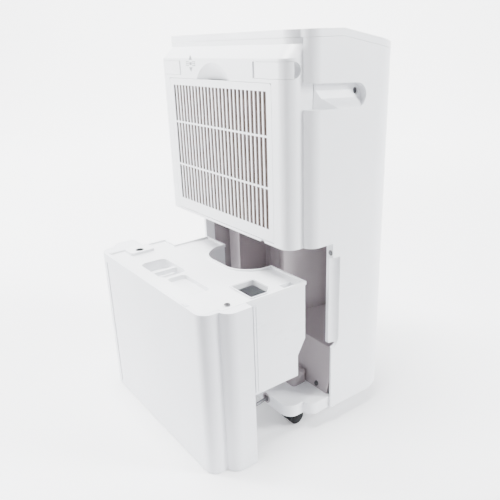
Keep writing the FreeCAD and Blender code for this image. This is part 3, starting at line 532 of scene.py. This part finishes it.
def louvre_ribs():
    """Four low ribs along the outlet blade."""
    bm = bmesh.new()
    for y in (0.012, 0.019, 0.026, 0.033):
        place = Matrix.Translation((0, y, TOP - 0.0001))
        slab(bm, rounded_rect(0.196, 0.0016, 0.0007, 4), 0, 0.0006, place, 0.0003)
    add_mesh("louvre_ribs", bm, M["shell"], "louvre")


louvre_ribs()


def bay_ribs():
    """Moulded ribs up the bay's back wall."""
    bm = bmesh.new()
    for x in (-0.105, -0.075, 0.095, 0.125, 0.150):
        place = Matrix.Translation((x, 0.1372, 0.158)) @ Matrix.Rotation(math.pi / 2, 4, "X")
        slab(bm, rounded_rect(0.0022, 0.130, 0.0008, 3, 0, 0.065), -0.0006, 0.0009, place, 0.0003)
    return add_mesh("bay_ribs", bm, M["liner"], "cabinet")


bay_ribs()


def float_hole_shade_cup():
    """Black cup under the lid's float hole: painted shade in the hole."""
    bm = bmesh.new()
    lathe(bm, [(0, 0), (0.0069, 0), (0.0069, 0.0016), (0.0060, 0.0006), (0, 0.0005)],
          Matrix.Translation(FLOAT_HOLE), 28)
    add_mesh("float_hole_shade_cup", bm, M["black"], "tank")


def panel_slot_shade_strip():
    """Black strip at the bottom of the slot in the tank's panel: painted shade in the groove."""
    bm = bmesh.new()
    slab(bm, rounded_rect(0.0031, 0.2256, 0.0005, 2), 0, 0.0004, frame_at(PANEL_SLOT, (0, -1, 0)), 0.0001)
    add_mesh("panel_slot_shade_strip", bm, M["black"], "tank")


def recess_screws():
    """Screw heads deep in the two hand recesses."""
    bm = bmesh.new()
    x, y, z = HAND_RECESS
    for side in (-1, 1):
        lathe(bm, [(0, 0), (0.0044, 0), (0.0044, 0.0010), (0.0030, 0.0014), (0, 0.0010)],
              frame_at((side * x, y, z), (side, 0, 0)), 28)
    add_mesh("recess_screws", bm, M["screw"], "cabinet")


float_hole_shade_cup()
panel_slot_shade_strip()
recess_screws()


def drain_sleeve():
    """Rolled lip at the drain tube's end."""
    bm = bmesh.new()
    drop = math.radians(8.5)
    direction = Vector((0, -math.cos(drop), -math.sin(drop)))
    lip = [(0.0019, -0.002), (0.0027, -0.002), (0.00295, -0.0012), (0.00295, -0.0002), (0.0026, 0.0002),
           (0.0019, 0.0002), (0.0019, -0.002)]
    lathe(bm, lip, frame_at(Vector(DRAIN_END), direction), 32)
    return add_mesh("drain_tube_lip", bm, M["steel"], "cabinet")


drain_sleeve()


def tank_seal():
    """Soft gasket bead round the pouring mouth."""
    bm = bmesh.new()
    outline = [(0.1005, -0.0955), (0.1525, -0.0955), (0.1525, -0.0665), (0.1395, -0.0535), (0.1005, -0.0535)]
    inner = [(0.1022, -0.0938), (0.1508, -0.0938), (0.1508, -0.0672), (0.1388, -0.0552), (0.1022, -0.0552)]
    z0, z1 = 0.2464, 0.2471
    loops = [[bm.verts.new((x, y, z)) for x, y in points] for points, z in
             ((outline, z0), (outline, z1), (inner, z1), (inner, z0))]
    for a, b in zip(loops, loops[1:]):
        for i in range(5):
            j = (i + 1) % 5
            bm.faces.new([a[i], a[j], b[j], b[i]])
    obj = add_mesh("mouth_bead", bm, M["lid"], "tank")
    soften(obj, 0.0002)
    return obj


tank_seal()


# ---------------------------------------------------------------- studio
def floor_sheet():
    bm = bmesh.new()
    sweep = [(1.6, 0.0)]
    for k in range(1, 13):
        a = math.radians(90 * k / 12)
        sweep.append((1.6 + 1.2 * math.sin(a), 1.2 - 1.2 * math.cos(a)))
    sweep.append((2.8, 5.0))
    profile = [(-0.8 - d, h) for d, h in reversed(sweep)] + sweep
    az = math.radians(AZIMUTH)
    along = Vector((-math.sin(az), math.cos(az), 0))
    across = Vector((math.cos(az), math.sin(az), 0))
    rows = [[bm.verts.new(along * d + across * w + Vector((0, 0, h - 0.0001))) for w in (-5, 5)]
            for d, h in profile]
    for a, b in zip(rows, rows[1:]):
        bm.faces.new([a[0], a[1], b[1], b[0]])
    n = Nodes("glowing_studio_paper")
    tone = n.spread(n.noise(3, 3), 0, 1)
    n.bsdf.inputs["Emission Color"].default_value = (1, 1, 1, 1)
    depth = n.add("ShaderNodeVectorMath", operation="DOT_PRODUCT")
    depth.inputs[1].default_value = along
    n.link(n.coord.outputs["Object"], depth.inputs[0])
    # The paper glows, dim near the camera and up to 3.2 towards the back, so it lights the machine from
    # below and behind like a lamp.
    n.link(n.spread(depth.outputs["Value"], 0.28, 3.2, (0.2, 2.0)), n.bsdf.inputs["Emission Strength"])
    base = n.mix(tone, (0.90, 0.90, 0.91), (0.88, 0.88, 0.89))
    # Darker grey paper in front of the machine, so less light bounces up onto its near corner.
    base = n.mix(n.spread(depth.outputs["Value"], 1, 0, (-0.46, -0.28)), base, (0.32, 0.32, 0.33))
    mat = n.finish(base, n.spread(n.noise(6, 2), 0.75, 0.9), n.bump(n.noise(400, 2), 0.03, 0.0002))
    obj = add_mesh("studio_floor", bm, mat, None)


floor_sheet()


def area_light(name, where, target, size, power, color=(1, 1, 1)):
    light = bpy.data.lights.new(name, "AREA")
    light.shape = "RECTANGLE"
    light.size, light.size_y = size
    light.energy = power
    light.color = color
    obj = bpy.data.objects.new(name, light)
    aim = (Vector(target) - Vector(where)).to_track_quat("-Z", "Y")
    obj.matrix_world = Matrix.Translation(where) @ aim.to_matrix().to_4x4()
    bpy.context.collection.objects.link(obj)


area_light("key_right", (1.75, 1.45, 1.3), (0, 0, 0.35), (0.6, 1.2), 138, (0.97, 0.99, 1.0))
area_light("key_left", (-1.65, -1.5, 1.0), (0, -0.1, 0.25), (0.6, 1.4), 138, (0.98, 0.99, 1.0))
area_light("overhead", (0.0, -0.3, 2.2), (0, -0.05, 0.3), (0.8, 0.8), 150)
world = bpy.data.worlds.new("studio")
world.use_nodes = True
world.node_tree.nodes["Background"].inputs["Color"].default_value = (0.97, 0.98, 1.0, 1)
world.node_tree.nodes["Background"].inputs["Strength"].default_value = 0.04
bpy.context.scene.world = world


# ---------------------------------------------------------------- camera
def camera():
    az, el, roll = (math.radians(v) for v in (AZIMUTH, ELEVATION, ROLL))
    back = Vector((math.sin(az) * math.cos(el), -math.cos(az) * math.cos(el), math.sin(el)))
    right0 = Vector((math.cos(az), math.sin(az), 0))
    up0 = back.cross(right0)
    right = right0 * math.cos(roll) + up0 * math.sin(roll)
    up = up0 * math.cos(roll) - right0 * math.sin(roll)
    data = bpy.data.cameras.new("photo_camera")
    data.sensor_width = SENSOR
    data.lens = LENS
    data.clip_start = 0.01
    obj = bpy.data.objects.new("photo_camera", data)
    turn = Matrix((right, up, back)).transposed().to_4x4()
    obj.matrix_world = Matrix.Translation(CAMERA_AT) @ turn
    bpy.context.collection.objects.link(obj)
    bpy.context.scene.camera = obj


camera()
bpy.context.view_layer.update()
